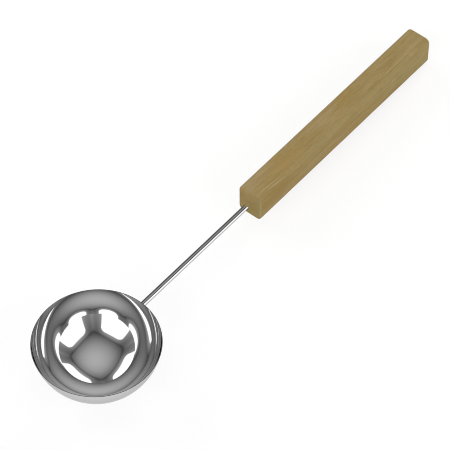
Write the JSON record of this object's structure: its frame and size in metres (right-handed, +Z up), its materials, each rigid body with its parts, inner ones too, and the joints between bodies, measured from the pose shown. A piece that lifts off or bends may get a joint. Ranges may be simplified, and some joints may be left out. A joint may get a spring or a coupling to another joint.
{
  "type": "sauna ladle",
  "caption": "Sauna ladle with a deep round polished steel bowl on a thin straight steel rod and a wooden bar handle, for scooping water onto hot stones.",
  "frame": {"origin": "on the bench, under the middle of the ladle's box, with the ladle lying on the bottom of its bowl and the far lower edge of its handle", "axes": "+X from the bowl towards the handle, +Z up from the bench; the rod dips towards +X by the small angle at which the ladle rests"},
  "size_m": [0.411, 0.0914, 0.0425],
  "materials": {
    "polished_steel": "mirror-polished stainless steel",
    "weld_metal": "cleaned and blended weld",
    "light_wood": "sanded and oiled, satin",
    "cured_adhesive": "cured resin"
  },
  "bodies": {
    "root": {"bowl": "polished_steel", "rod": "polished_steel", "weld_fillet": "weld_metal", "handle": "light_wood", "adhesive": "cured_adhesive"}
  },
  "joints": []
}
